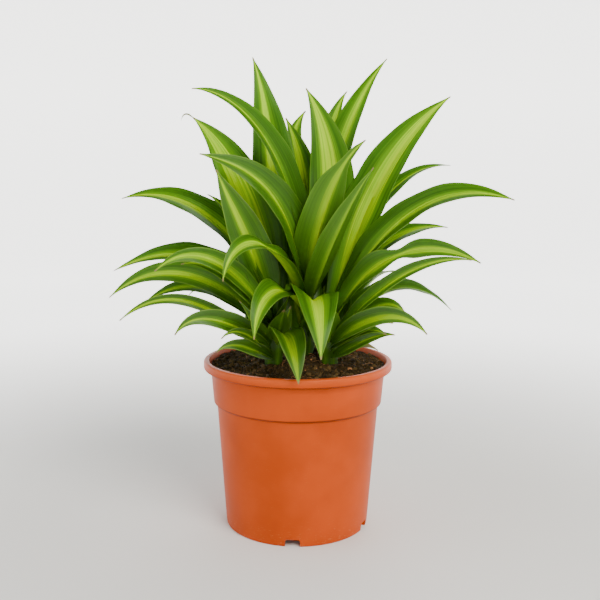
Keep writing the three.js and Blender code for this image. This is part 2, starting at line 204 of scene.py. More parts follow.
LEFT_LEAVES = (
    Leaf(214, (-23, 4, 295), (-24, 12, 407), (-47, 20, 468), 52, 105, 0.9),
    Leaf(214, (-38, -6, 303), (-64, -26, 378), (-99, -40, 405), 60, 120, 1.3, curl=17),
    Leaf(208, (-40, -28, 282), (-61, -55, 320), (-75, -65, 357), 42, 112, 0.75, shaded=0.8, age=0.45),
    Leaf(205, (-45, -25, 286), (-66, -30, 324), (-87, -30, 334), 32, 150, age=0.4),
    Leaf(208, (-38, -15, 266), (-95, -10, 352), (-174, -5, 329), 43, 138, 1.15),
    Leaf(204, (-49, 5, 247), (-108, 15, 298), (-189, 20, 255), 38, 126),
    Leaf(202, (-45, -50, 258), (-92, -70, 304), (-129, -85, 266), 23, 138),
    Leaf(196, (-45, -20, 227), (-121, -10, 293), (-190, 0, 230), 28, 122),
    Leaf(200, (-41, -45, 240), (-78, -55, 280), (-109, -60, 270), 22, 140),
    Leaf(192, (-48, -10, 219), (-99, 5, 269), (-158, 10, 222), 23, 128),
    Leaf(188, (-48, -40, 192), (-107, -45, 272), (-168, -55, 216), 13, 138),
    Leaf(183, (-45, -60, 208), (-92, -80, 243), (-111, -90, 209), 22, 146, 0.6),
    Leaf(178, (-43, -60, 204), (-58, -75, 219), (-70, -80, 204), 12, 150, 0.6),
    Leaf(173, (-40, -60, 190), (-61, -72, 206), (-75, -78, 191), 16, 155, 0.5),
    Leaf(184, (-15, -55, 205), (-5, -90, 222), (1, -104, 168), 33, 285, 1.2),
    Leaf(172, (-18, -28, 195), (-11, -33, 212), (-7, -34, 228), 24, 300, 0.5),
    # behind
    Leaf(206, (-40, 20, 255), (-70, 80, 290), (-88, 110, 250), 26, 120),
    Leaf(200, (-30, 30, 250), (-40, 95, 290), (-48, 132, 240), 28, 95),
    Leaf(190, (-45, 10, 215), (-85, 45, 260), (-118, 60, 225), 22, 140),
    Leaf(180, (-35, 15, 195), (-50, 65, 225), (-60, 95, 192), 20, 110),
    Leaf(200, (-40, 0, 240), (-60, 20, 262), (-72, 30, 277), 24, 120, 0.4, shaded=1),
)
RIGHT_LEAVES = (
    Leaf(214, (59, 7, 300), (81, -5, 384), (142, -25, 427), 52, 58, 1.25),
    Leaf(205, (54, 18, 297), (97, 25, 369), (154, 30, 364), 36, 44, 0.5),
    Leaf(205, (52, -15, 252), (104, -50, 366), (190, -90, 332), 39, 25),
    Leaf(200, (52, 0, 260), (96, 0, 310), (147, -5, 303), 37, 38),
    Leaf(196, (51, -40, 266), (105, -80, 310), (158, -110, 278), 29, 28, pinch=(0.6, 0.6)),
    Leaf(192, (51, -50, 220), (95, -90, 289), (149, -115, 281), 16, 25),
    Leaf(188, (54, -5, 217), (101, 0, 272), (155, 5, 219), 34, 34, 0.6),
    Leaf(184, (53, -30, 209), (82, -45, 248), (101, -50, 225), 26, 12, curl=8),
    Leaf(182, (50, -65, 217), (89, -90, 246), (115, -100, 213), 22, 15),
    Leaf(180, (45, -50, 200), (67, -60, 223), (89, -60, 216), 18, 5),
    Leaf(178, (45, -40, 198), (66, -55, 218), (83, -60, 205), 17, 5, 0.6),
    Leaf(174, (45, -45, 183), (68, -55, 209), (91, -60, 205), 16, 5, 0.5),
    Leaf(172, (46, -25, 181), (60, -35, 197), (78, -35, 185), 11, 0, withered=True),
    Leaf(172, (24, -26, 195), (17, -33, 212), (13, -35, 226), 24, 240, 0.5),
    # behind
    Leaf(206, (50, 20, 255), (78, 80, 290), (94, 112, 252), 26, 60),
    Leaf(200, (31, 20, 247), (42, 92, 292), (50, 134, 245), 28, 85),
    Leaf(190, (55, 10, 225), (88, 45, 272), (112, 60, 245), 22, 40),
    Leaf(180, (45, 15, 200), (62, 65, 232), (70, 95, 200), 20, 70),
    Leaf(190, (27, -6, 214), (25, 4, 240), (24, 10, 272), 26, 95, 0.3, shaded=1),
)
CENTRE_LEAVES = (
    Leaf(222, (4, -24, 366), (-50, -40, 433), (-97, -60, 429), 37, 148, 0.7, shaded=0.8),
    Leaf(216, (-3, -36, 338), (-37, -58, 361), (-90, -65, 371), 40, 140, 0.6, shaded=1, age=0.3),
    Leaf(222, (45, 9, 309), (34, 5, 392), (6, 5, 437), 54, 100, 1.15),
    Leaf(225, (32, 25, 328), (36, 30, 411), (87, 30, 469), 38, 60, 1.15),
    Leaf(222, (24, 50, 338), (27, 60, 414), (49, 60, 440), 43, 85),
    Leaf(222, (-7, 40, 328), (-20, 50, 388), (6, 50, 419), 46, 105),
    Leaf(222, (13, 20, 323), (3, 25, 378), (-14, 25, 410), 44, 100),
    Leaf(212, (13, -44, 284), (25, -49, 358), (61, -50, 385), 45, 278, 0.8, age=0.25, pinch=(0.87, 0.4)),
    Leaf(205, (23, -56, 275), (47, -58, 330), (68, -60, 360), 30, 290, 0.3, shaded=0.9, age=0.4),
    Leaf(206, (-10, -54, 300), (-59, -105, 314), (-65, -115, 261), 30, 210, 1.2, pinch=(0.6, 0.55)),
    Leaf(204, (2, -46, 250), (-38, -102, 268), (-38, -115, 210), 36, 240, 1.1, pinch=(0.47, 0.7)),
    Leaf(204, (11, -50, 241), (17, -115, 263), (20, -135, 197), 50, 270, 1.0),
    # behind
    Leaf(218, (0, 55, 300), (-10, 105, 350), (-20, 135, 330), 30, 90),
    Leaf(214, (14, 50, 290), (24, 105, 330), (30, 135, 300), 30, 85),
    Leaf(210, (19, 50, 284), (55, 100, 320), (70, 125, 290), 27, 60),
    Leaf(210, (-12, 45, 285), (-50, 95, 330), (-70, 125, 300), 28, 120),
    Leaf(205, (5, 45, 240), (2, 90, 265), (0, 120, 215), 28, 90),
    Leaf(222, (-5, 40, 310), (-20, 95, 375), (-35, 125, 360), 28, 100),
    Leaf(224, (18, 35, 320), (30, 80, 385), (40, 105, 385), 28, 80),
    # close inside
    Leaf(200, (-7, 34, 250), (-15, 58, 285), (-20, 72, 302), 27, 105, 0.6),
    Leaf(205, (11, 44, 250), (16, 72, 285), (18, 84, 302), 26, 80, 0.6),
    Leaf(178, (2, 0, 215), (-6, -6, 245), (-16, -6, 280), 32, 95, 0.6),
)
STEMS = {
    "leafy_stem_left": Stem((-24, -22), 216, 20, 205, LEFT_LEAVES),
    "leafy_stem_right": Stem((31, -20), 216, 75, 335, RIGHT_LEAVES),
    "leafy_stem_centre": Stem((7, 10), 226, 130, 80, CENTRE_LEAVES),
}

# Short broad leaves that clasp each stem's foot, in the turn that dracaena leaves grow in.
CLASP_COUNT = 6
CLASP_TURN = 137.5
CLASP_LOWEST = 8
CLASP_RISE = 3
CLASP_LENGTH = 46
CLASP_LENGTH_STEP = 1
CLASP_SPREAD = 38
CLASP_CROWDED = 13
CLASP_WIDTH = 28
CLASP_BASE = 0.8
# The two handles and the tip of their ribs, as shares of their spread and of their length.
CLASP_RIB = ((0.45, 0.02), (0.6, 0.6), (1, 1))
CLASP_GUTTER = ((0, 45), *GUTTER[1:])


# ---- what a user may change ----


def a_colour(name, text, value):
    return bpy.props.FloatVectorProperty(name=name, description=text, subtype="COLOR", default=value)


def a_count(name, text, value, least=0):
    return bpy.props.IntProperty(name=name, description=text, default=value, min=least)


def a_number(name, text, value, least=0, **more):
    return bpy.props.FloatProperty(name=name, description=text, default=value, min=least, **more)


def a_length(name, text, millimetres):
    return a_number(name, text, millimetres * MM, unit="LENGTH")


def a_share(name, text, value):
    return a_number(name, text, value, subtype="FACTOR", max=1)


class PotSettings(bpy.types.PropertyGroup):
    """The plastic pot."""

    sides: a_count("Sides", "Facets round the pot", 176, 24)
    colour: a_colour("Plastic", "Colour of the plastic", (0.405, 0.049, 0.0008))
    gloss: a_share("Roughness", "Roughness of the plastic", 0.4)


class SoilSettings(bpy.types.PropertyGroup):
    """The peat and what lies on it."""

    colour: a_colour("Peat", "Colour of the moist peat", linear(58, 43, 18))
    lumps: a_length("Lumps", "Height of the small lumps", 2.2)
    crumbs: a_number("Crumbs", "Crumbs on a square metre", 130000)
    crumb_radius: a_length("Crumb Radius", "Radius of the largest crumbs", 3.0)
    fibres: a_number("Fibres", "Peat fibres on a square metre", 26000)
    fibre_length: a_length("Fibre Length", "Length of the longest fibres", 11)
    seed: a_count("Seed", "Draw of crumbs and fibres", 7)


class LeafSettings(bpy.types.PropertyGroup):
    """The leaves of all three stems."""

    margin: a_colour("Margin", "Green of the margins", (0.034, 0.115, 0.001))
    stripe: a_colour("Stripe", "Lime of the stripe", (0.31, 0.53, 0.0004))
    stripe_share: a_share("Stripe Width", "Share of a leaf that is lime", 0.34)
    gloss: a_share("Roughness", "Roughness of the leaves", 0.4)
    rib_thick: a_length("Rib", "Thickness at the rib", 1.1)
    edge_thick: a_length("Edge", "Thickness at the edge", 0.5)
    step: a_length("Step", "Spacing of a blade's cross-sections", 4.5)
    seed: a_count("Seed", "Draw of stripes and tones", 11)


class StageSettings(bpy.types.PropertyGroup):
    """Floor, light and camera."""

    floor: a_colour("Floor", "Colour of the floor", linear(226, 225, 221))
    light: a_number("Light", "Strength of the studio light", 1.0)
    lens: a_number("Lens", "Focal length on a 36 mm sensor, in millimetres", 49.74, 10)


# ---- node trees ----


class Wire:
    """An output of a node, which can stand in sums and products."""

    def __init__(self, tree, socket):
        self.tree = tree
        self.socket = socket

    def maths(self, operation, *values):
        return self.tree.node("ShaderNodeMath", {"operation": operation}, dict(enumerate(values)))

    def __add__(self, other):
        return self.maths("ADD", self, other)

    def __radd__(self, other):
        return self.maths("ADD", other, self)

    def __sub__(self, other):
        return self.maths("SUBTRACT", self, other)

    def __rsub__(self, other):
        return self.maths("SUBTRACT", other, self)

    def __mul__(self, other):
        return self.maths("MULTIPLY", self, other)

    def __rmul__(self, other):
        return self.maths("MULTIPLY", other, self)

    def __truediv__(self, other):
        return self.maths("DIVIDE", self, other)

    def __abs__(self):
        return self.maths("ABSOLUTE", self)

    def __pow__(self, other):
        return self.maths("POWER", self, other)

    def between(self, low, high):
        """0 below low and 1 above high, with a soft passage."""
        settings = {"interpolation_type": "SMOOTHSTEP"}
        return self.tree.node("ShaderNodeMapRange", settings, {0: self, 1: low, 2: high})


class NodeTree:
    """A node tree that is written as expressions."""

    def __init__(self, nodes, links):
        self.nodes = nodes
        self.links = links

    def node(self, kind, settings=None, inputs=None, output=0):
        """Adds a node: first its settings, then the values or links of its sockets."""
        made = self.nodes.new(kind)
        for name, value in (settings or {}).items():
            setattr(made, name, value)
        for name, value in (inputs or {}).items():
            if isinstance(value, Wire):
                self.links.new(value.socket, made.inputs[name])
            else:
                made.inputs[name].default_value = value
        return Wire(self, made.outputs[output])

    def noise(self, vector, scale=1, detail=2, roughness=0.5):
        values = {"Vector": vector, "Scale": scale, "Detail": detail, "Roughness": roughness}
        return self.node("ShaderNodeTexNoise", {}, values)

    def vector(self, x, y, z):
        return self.node("ShaderNodeCombineXYZ", {}, {0: x, 1: y, 2: z})

    def parts(self, vector):
        """The three numbers of a vector."""
        split = self.node("ShaderNodeSeparateXYZ", {}, {0: vector}).socket.node
        return [Wire(self, split.outputs[i]) for i in range(3)]

    def attribute(self, name, output="Vector"):
        return self.node("ShaderNodeAttribute", {"attribute_name": name}, {}, output)

    def mix(self, factor, first, second):
        """A colour between two colours."""
        sockets = {0: factor, 6: self.colour(first), 7: self.colour(second)}
        return self.node("ShaderNodeMix", {"data_type": "RGBA"}, sockets, 2)

    def layered(self, colour, *layers):
        """A colour under layers, each of them a share and a colour."""
        for share, layer in layers:
            colour = self.mix(share, colour, layer)
        return colour

    @staticmethod
    def colour(value):
        return value if isinstance(value, Wire) else with_alpha(value)


class Finish(NodeTree):
    """A material of one Principled shader."""

    def __init__(self, name, **constants):
        self.material = bpy.data.materials.new(name)
        self.material.use_nodes = True
        tree = self.material.node_tree
        super().__init__(tree.nodes, tree.links)
        self.shader = tree.nodes["Principled BSDF"]
        for socket, value in constants.items():
            self.shader.inputs[socket.replace("_", " ")].default_value = value

    def feed(self, socket, wire):
        self.links.new(wire.socket, self.shader.inputs[socket])

    def bump(self, height, distance, strength=1.0):
        values = {"Height": height, "Distance": distance, "Strength": strength}
        self.feed("Normal", self.node("ShaderNodeBump", {}, values))

    def place(self):
        """Where a point is, in metres in the frame."""
        return self.node("ShaderNodeTexCoord", {}, {}, "Object")


class Rule(NodeTree):
    """A Geometry Nodes tree with named inputs, which turns one mesh into another."""

    def __init__(self, name, inputs):
        self.group = bpy.data.node_groups.new(name, "GeometryNodeTree")
        super().__init__(self.group.nodes, self.group.links)
        face = self.group.interface
        face.new_socket(name="Mesh", in_out="INPUT", socket_type="NodeSocketGeometry")
        for label, kind in inputs.items():
            face.new_socket(name=label, in_out="INPUT", socket_type=f"NodeSocket{kind}")
        face.new_socket(name="Mesh", in_out="OUTPUT", socket_type="NodeSocketGeometry")
        self.entry = self.nodes.new("NodeGroupInput")

    def given(self, label):
        return Wire(self, self.entry.outputs[label])

    def end(self, mesh):
        """Closes the tree: real instances, with the finish on them."""
        real = self.node("GeometryNodeRealizeInstances", {}, {0: mesh})
        values = {"Geometry": real, "Material": self.given("Finish")}
        done = self.node("GeometryNodeSetMaterial", {}, values)
        exit_node = self.nodes.new("NodeGroupOutput")
        self.links.new(done.socket, exit_node.inputs[0])

    def applied(self, name, source, values):
        """A plain mesh object that the rule makes from a source mesh."""
        carrier = new_object(name, source)
        modifier = carrier.modifiers.new(self.group.name, "NODES")
        modifier.node_group = self.group
        for item in self.group.interface.items_tree:
            if item.in_out == "INPUT" and item.name in values:
                modifier[item.identifier] = values[item.name]
        settled(carrier)
        return carrier


# ---- mesh helpers ----


def mesh_from(name, points, faces, edges=()):
    mesh = bpy.data.meshes.new(name)
    mesh.from_pydata([tuple(point) for point in points], edges, faces)
    mesh.update()
    return mesh


def new_object(name, data, material=None):
    made = bpy.data.objects.new(name, data)
    bpy.context.scene.collection.objects.link(made)
    if material:
        data.materials.clear()
        data.materials.append(material)
    return made


# Over how many degrees between its faces an edge is shaded sharp.
POT_SHARP = 35
SOIL_SHARP = 60
LEAF_SHARP = 75
ALL_SMOOTH = 180


def cleaned(mesh, sharp_over):
    """Merges doubles, turns faces outwards and shades the mesh smooth but for its sharp edges."""
    shape = bmesh.new()
    shape.from_mesh(mesh)
    bmesh.ops.remove_doubles(shape, verts=shape.verts, dist=0.002 * MM)
    bmesh.ops.recalc_face_normals(shape, faces=shape.faces)
    for face in shape.faces:
        face.smooth = True
    for edge in shape.edges:
        edge.smooth = not (edge.is_manifold and edge.calc_face_angle() > math.radians(sharp_over))
    shape.to_mesh(mesh)
    shape.free()
    return mesh


def settled(piece):
    """Turns what a piece's modifiers make into its own plain mesh."""
    graph = bpy.context.evaluated_depsgraph_get()
    source = piece.data
    piece.data = bpy.data.meshes.new_from_object(piece.evaluated_get(graph))
    piece.modifiers.clear()
    bpy.data.meshes.remove(source)
    piece.data.name = piece.name


def cut(piece, cutters):
    """Cuts closed meshes out of a piece."""
    for cutter in cutters:
        tool = new_object("cutter", cutter)
        modifier = piece.modifiers.new("cut", "BOOLEAN")
        modifier.operation = "DIFFERENCE"
        modifier.solver = "EXACT"
        modifier.object = tool
        settled(piece)
        bpy.data.objects.remove(tool)


def ring_faces(rows, sides, closed=False):
    """Faces between rings of equal length that follow one another, with flat ends if closed."""
    faces = []
    for low in range(0, (rows - 1) * sides, sides):
        for j in range(sides):
            k = (j + 1) % sides
            faces.append([low + j, low + k, low + sides + k, low + sides + j])
    if closed:
        faces.append(list(range(sides))[::-1])
        faces.append(list(range((rows - 1) * sides, rows * sides)))
    return faces


def through_rings(rows, bottom=None, top=None):
    """Points and faces through rings of equal length, closed at each end that has a point."""
    count, sides = len(rows), len(rows[0])
    points = [point for row in rows for point in row]
    faces = ring_faces(count, sides)
    last = (count - 1) * sides
    if bottom is not None:
        faces.extend([len(points), (j + 1) % sides, j] for j in range(sides))
        points.append(bottom)
    if top is not None:
        faces.extend([len(points), last + j, last + (j + 1) % sides] for j in range(sides))
        points.append(top)
    return points, faces


def rings_mesh(name, rows, bottom=None, top=None):
    """A mesh through rings of points in millimetres."""
    points, faces = through_rings(rows, bottom, top)
    return mesh_from(name, [Vector(point) * MM for point in points], faces)


def closed_tube(name, rings):
    """A closed mesh through rings of points in millimetres, with flat ends."""
    points = [Vector(point) * MM for ring in rings for point in ring]
    faces = ring_faces(len(rings), len(rings[0]), closed=True)
    return cleaned(mesh_from(name, points, faces), POT_SHARP)


def arc(centre_x, centre_y, radius, start, end, steps):
    """Points of a round corner, with its angles in degrees."""
    angles = [math.radians(start + (end - start) * i / steps) for i in range(steps + 1)]
    return [(centre_x + radius * math.cos(a), centre_y + radius * math.sin(a)) for a in angles]


def circle(radius, height, sides, at=(0, 0)):
    """Points of a level circle."""
    return [(x, y, height) for x, y in arc(*at, radius, 0, 360, sides)[:-1]]


def between(low, high, value):
    """0 below low and 1 above high, with a soft passage, on numbers or arrays."""
    share = np.clip((value - low) / (high - low), 0, 1)
    return share * share * (3 - 2 * share)


def unit(vectors):
    """Vectors, one or an array of them, at length 1."""
    return vectors / np.linalg.norm(vectors, axis=-1, keepdims=True)


def dress(piece, node):
    """Makes a piece part of the object: it rides on the body, and the frame's part that it stands for is
    hidden.
    """
    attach(piece, ROOT)
    if node:
        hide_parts(node)


# ---- the pot ----


def outer_radius(height):
    if height <= STEP_HEIGHT:
        return FOOT_RADIUS + (BODY_TOP_RADIUS - FOOT_RADIUS) * height / STEP_HEIGHT
    share = (height - STEP_HEIGHT) / (LIP_UNDER - STEP_HEIGHT)
    return COLLAR_LOW_RADIUS + (COLLAR_TOP_RADIUS - COLLAR_LOW_RADIUS) * share


def inner_radius(height):
    if height > LIP_UNDER:
        share = (height - LIP_UNDER) / LIP_HEIGHT
        under = outer_radius(LIP_UNDER) - WALL
        return under + (LIP_INNER_RADIUS - under) * share
    return outer_radius(height) - WALL


def wall_line(radius_at, low, high, steps):
    heights = [low + (high - low) * i / steps for i in range(steps + 1)]
    return [(radius_at(height), height) for height in heights]


def pot_profile():
    """The pot's wall from the middle of its underside, over the lip, to the middle of its floor."""
    foot_inner = FOOT_RADIUS - FOOT_WIDTH
    step = STEP_HEIGHT
    floor = FLOOR_TOP
    curve = floor + FLOOR_ROUND
    lip_low = LIP_UNDER + LIP_ROUND
    lip_top = POT_HEIGHT - LIP_ROUND
    lip_middle = LIP_RADIUS - LIP_ROUND
    return [
        (0, FLOOR_UNDER),
        (foot_inner / 2, FLOOR_UNDER),
        *arc(foot_inner - FLOOR_FILLET, FLOOR_UNDER - FLOOR_FILLET, FLOOR_FILLET, 90, 0, 4),
        *arc(foot_inner + FOOT_INNER_BEVEL, FOOT_INNER_BEVEL, FOOT_INNER_BEVEL, 180, 270, 3),
        *arc(FOOT_RADIUS - FOOT_BEVEL, FOOT_BEVEL, FOOT_BEVEL, 270, 360, 5),
        *wall_line(outer_radius, 2 * FOOT_BEVEL, step - 4.2, 10),
        *arc(outer_radius(step) + STEP_FILLET, step - 2.6, STEP_FILLET, 180, 115, 5),
        *arc(COLLAR_LOW_RADIUS - STEP_BEVEL, step + 0.9, STEP_BEVEL, 300, 360, 4),
        *wall_line(outer_radius, step + 2.2, LIP_UNDER - 1.6, 5),
        *arc(COLLAR_TOP_RADIUS + 1.2, LIP_UNDER - LIP_FILLET, LIP_FILLET, 180, 90, 4),
        *arc(lip_middle, lip_low, LIP_ROUND, 270, 355, 6),
        (LIP_RADIUS, (lip_low + lip_top) / 2),
        *arc(lip_middle, lip_top, LIP_ROUND, 5, 90, 6),
        *arc(LIP_INNER_RADIUS + LIP_FILLET, POT_HEIGHT - LIP_FILLET, LIP_FILLET, 90, 180, 4),
        (inner_radius(LIP_UNDER), LIP_UNDER),
        (COLLAR_LOW_RADIUS - WALL, step + WALL),
        (BODY_TOP_RADIUS - WALL, step - WALL),
        (inner_radius(curve), curve),
        *arc(inner_radius(floor) - FLOOR_ROUND, curve, FLOOR_ROUND, 0, -90, 4)[1:],
        (0, floor),
    ]


def pot_rule():
    """Sweeps a wall profile round a circle, and joins the ends on the axis."""
    rule = Rule("Turn a wall", {"Sides": "Int", "Rail Radius": "Float", "Finish": "Material"})
    profile = rule.node("GeometryNodeMeshToCurve", {}, {"Mesh": rule.given("Mesh")})
    round_rail = {"Resolution": rule.given("Sides"), "Radius": rule.given("Rail Radius")}
    rail = rule.node("GeometryNodeCurvePrimitiveCircle", {"mode": "RADIUS"}, round_rail)
    wall = rule.node("GeometryNodeCurveToMesh", {}, {"Curve": rail, "Profile Curve": profile})
    merged = rule.node("GeometryNodeMergeByDistance", {}, {"Geometry": wall, "Distance": 0.01 * MM})
    rule.end(merged)
    return rule


def notch_cutter(turn):
    """An arch-topped block through the foot ring."""
    half = NOTCH_WIDTH / 2
    corner = NOTCH_CORNER
    spare = FOOT_WIDTH / 2
    outline = [
        (-half, -spare),
        (half, -spare),
        *arc(half - corner, NOTCH_HEIGHT - corner, corner, 0, 90, 6),
        *arc(corner - half, NOTCH_HEIGHT - corner, corner, 90, 180, 6),
    ]
    place = Matrix.Rotation(math.radians(turn - 90), 3, "Z")
    rings = []
    for reach in (FOOT_RADIUS - FOOT_WIDTH - spare, FOOT_RADIUS + spare):
        rings.append([place @ Vector((x, reach, z)) for x, z in outline])
    return closed_tube("notch", rings)


def round_cutter(at, radius, low, high):
    """An upright cylinder."""
    return closed_tube("cylinder", [circle(radius, height, 32, at) for height in (low, high)])


def plastic(settings):
    """Terracotta-coloured polypropylene: satin, faintly mottled, scuffed near the foot, with painted
    shade under the lip and the collar's step.
    """
    finish = Finish("terracotta plastic", Specular_IOR_Level=0.1)
    place = finish.place()
    across, depth, height = finish.parts(place)
    cloud = finish.noise(place, 14, 3, 0.55)
    grain = finish.noise(place, 900, 2, 0.6)
    flow = finish.noise(finish.vector(across * 60, depth * 60, height * 5))
    scuff = finish.noise(finish.vector(across * 240, depth * 240, height * 700), 1, 3, 0.7)
    low = 1 - height.between(1 * MM, 26 * MM)
    dust = scuff.between(0.58, 0.75) * (low * 0.5 + 0.05)
    base = tuple(settings.colour)
    colour = finish.layered(
        toned(base, 0.88),
        (cloud.between(0.35, 0.68), toned(base, 1.13, 0.004)),
        ((flow - 0.5) * 0.5 + 0.25, base),
        (dust, linear(214, 140, 96)),
    )
    # Painted shade: a dark band on the wall just under the lip's overhang and under the collar's step,
    # where they shade it.
    for crease, reach in ((LIP_UNDER, 3.2), (STEP_HEIGHT, 2.6)):
        under = (height - (crease - reach) * MM).between(0, reach * MM)
        below = (height - (crease + 0.4) * MM).between(1.2 * MM, 0)
        colour = finish.mix(under * below * 0.75, colour, toned(base, 0.18, 0.003))
    # Paler in fine specks over the top few millimetres of the pot, outside and in.
    near_rim = (POT_HEIGHT * MM - height).between(7 * MM, 1.5 * MM) * 0.25
    finish.feed("Base Color", finish.mix(near_rim * grain, colour, linear(222, 116, 66)))
    finish.feed("Roughness", cloud * 0.12 + dust * 0.25 + (settings.gloss - 0.06))
    finish.bump(grain * 0.35 + cloud * 2.2 + flow * 0.25, 0.12 * MM, 0.5)
    return finish.material


class DRACAENA_OT_pot(bpy.types.Operator):
    """Makes the nursery pot with its collar, rolled lip and drain notches"""

    bl_idname = "dracaena.make_pot"
    bl_label = "Make Pot"

    def execute(self, context):
        settings = context.scene.dracaena_pot
        rail = FOOT_RADIUS
        profile = [((radius - rail) * MM, -height * MM, 0) for radius, height in pot_profile()]
        edges = [(i, i + 1) for i in range(len(profile) - 1)]
        source = mesh_from("wall profile", profile, [], edges)
        values = {"Sides": settings.sides, "Rail Radius": rail * MM, "Finish": plastic(settings)}
        pot = pot_rule().applied("nursery_pot", source, values)
        cleaned(pot.data, POT_SHARP)
        cutters = []
        for at in NOTCHES_AT:
            cutters.append(notch_cutter(at))
            turn = math.radians(at + FLOOR_HOLE_TURN)
            hole = (FLOOR_HOLES_AT * math.cos(turn), FLOOR_HOLES_AT * math.sin(turn))
            cutters.append(round_cutter(hole, FLOOR_HOLE_RADIUS, 0, 2 * FLOOR_UNDER))
        cut(pot, cutters)
        cleaned(pot.data, POT_SHARP)
        dress(pot, "pot")
        return {"FINISHED"}


# ---- the soil ----


def soil_height(x, y):
    """Height of the soil's surface: a low mound round the stems, and small lumps."""
    out = math.hypot(x - MOUND_AT[0], y - MOUND_AT[1])
    mound = MOUND * (1 - between(MOUND_TOP, MOUND_FOOT, out))
    low = math.sin(x * 0.23 + 1.3) * math.cos(y * 0.19)
    high = 0.6 * math.sin(x * 0.11 - y * 0.37)
    return SOIL_EDGE + mound + SOIL_BUMP * (low + high)


def soil_point(radius, angle, lumps):
    """A point of the surface, with finer lumps than the frame's."""
    x = radius * math.cos(angle)
    y = radius * math.sin(angle)
    fine = noise.fractal(Vector((x / 6, y / 6, 3.1)), 0.8, 2.0, 4)
    coarse = noise.noise(Vector((x / 17, y / 17, 8.2)))
    return Vector((x, y, soil_height(x, y) + lumps * (0.6 * fine + 0.7 * coarse)))


def soil_top(lumps, rings=64, sides=220):
    """Rings of points from the wall to the middle."""
    edge = inner_radius(SOIL_EDGE) - SOIL_EDGE_GAP / 2
    rows = []
    for i in range(rings):
        radius = edge * (1 - i / rings)
        rows.append([soil_point(radius, 2 * math.pi * j / sides, lumps) for j in range(sides)])
    return rows


def peat(name, settings, pale_share):
    """Moist dark peat, which dries paler on its crumbs."""
    finish = Finish(name, Specular_IOR_Level=0.12)
    place = finish.place()
    tone = finish.attribute("tone", "Fac")
    clods = finish.noise(place, 160, 4, 0.65)
    dust = finish.noise(place, 1400, 3, 0.7)
    base = tuple(settings.colour)
    dry = toned(base, 2.6, 0.004)
    colour = finish.layered(
        toned(base, 0.28),
        (clods.between(0.38, 0.62), base),
        (dust.between(0.5, 0.72) * 0.55, dry),
        (tone.between(0.45, 0.9) * 0.6, dry),
        (tone.between(1 - pale_share, 1 - pale_share / 2), linear(156, 108, 68)),
    )
    finish.feed("Base Color", colour)
    finish.feed("Roughness", 0.62 + clods * 0.35)
    finish.bump(dust * 0.5 + clods, 0.5 * MM, 0.7)
    return finish.material


class DRACAENA_OT_soil(bpy.types.Operator):
    """Makes the body of peat that fills the pot, with a hole for each stem"""

    bl_idname = "dracaena.make_soil"
    bl_label = "Make Soil"

    def execute(self, context):
        settings = context.scene.dracaena_soil
        lumps = settings.lumps / MM
        top = soil_top(lumps)
        floor = FLOOR_TOP + GAP
        foot = floor + SOIL_FOOT_RISE
        profile = (
            (inner_radius(foot) - SOIL_FOOT_INSET, floor),
            (inner_radius(foot), foot),
            (BODY_TOP_RADIUS - WALL, STEP_HEIGHT - WALL - GAP),
            (COLLAR_LOW_RADIUS - WALL, STEP_HEIGHT + WALL + GAP),
        )
        rows = [circle(radius - SOIL_WALL_GAP, height, len(top[0])) for radius, height in profile]
        mesh = rings_mesh("peat_body", rows + top, (0, 0, floor), soil_point(0, 0, lumps))
        soil = new_object("peat_body", cleaned(mesh, SOIL_SHARP), peat("peat", settings, 0.001))
        low, high = STEM_BURIED - GAP, POT_HEIGHT + MOUND
        cut(soil, [round_cutter(stem.at, STEM_RADIUS + GAP, low, high) for stem in STEMS.values()])
        cleaned(soil.data, SOIL_SHARP)
        dress(soil, "soil")
        return {"FINISHED"}


def soil_skin(lumps):
    """The surface alone, for the things that lie on it: clear of the wall and of the stems."""
    mesh = rings_mesh("soil skin", soil_top(lumps, rings=40, sides=120)[1:])
    shape = bmesh.new()
    shape.from_mesh(mesh)
    clear = (STEM_RADIUS + 0.8) * MM
    centres = [Vector((*stem.at, 0)) * MM for stem in STEMS.values()]
    covered = []
    for vertex in shape.verts:
        flat = Vector((vertex.co.x, vertex.co.y, 0))
        if any((flat - centre).length < clear for centre in centres):
            covered.append(vertex)
    bmesh.ops.delete(shape, geom=covered, context="VERTS")
    shape.to_mesh(mesh)
    shape.free()
    return mesh


def drawn(rule, low, high, seed):
    """A number for each copy."""
    values = {2: low, 3: high, "Seed": seed}
    return rule.node("FunctionNodeRandomValue", {"data_type": "FLOAT"}, values, 1)


def scattered(rule, shape, size, stretch, tilt):
    """Copies of a shape on the surface, each with its own turn, size and tone."""
    seed = rule.given("Seed")
    spots = {"Mesh": rule.given("Mesh"), "Density": rule.given("Density"), "Seed": seed}
    points = rule.node("GeometryNodeDistributePointsOnFaces", {"distribute_method": "RANDOM"}, spots)
    spread = {"Min": (-tilt, -tilt, 0), "Max": (tilt, tilt, 2 * math.pi), "Seed": seed + 1}
    turn = rule.node("FunctionNodeRandomValue", {"data_type": "FLOAT_VECTOR"}, spread)
    scale = rule.vector(*(size * factor for factor in stretch))
    values = {"Points": points, "Instance": shape, "Rotation": turn, "Scale": scale}
    copies = rule.node("GeometryNodeInstanceOnPoints", {}, values)
    store = {"data_type": "FLOAT", "domain": "INSTANCE"}
    tone = {0: copies, "Name": "tone", "Value": drawn(rule, 0.0, 1.0, seed + 2)}
    named = rule.node("GeometryNodeStoreNamedAttribute", store, tone)
    return rule.node("GeometryNodeRealizeInstances", {}, {0: named})


def moved_by_noise(rule, mesh, scale, reach):
    """Pushes each point of a mesh about, by noise."""
    place = rule.node("GeometryNodeInputPosition")
    values = {"Vector": place, "Scale": scale, "Detail": 1}
    push = rule.node("ShaderNodeTexNoise", {}, values, "Color")
    halves = {0: push, 1: (0.5, 0.5, 0.5)}
    centred = rule.node("ShaderNodeVectorMath", {"operation": "SUBTRACT"}, halves)
    sized = rule.node("ShaderNodeVectorMath", {"operation": "SCALE"}, {0: centred, "Scale": reach})
    return rule.node("GeometryNodeSetPosition", {}, {"Geometry": mesh, "Offset": sized})


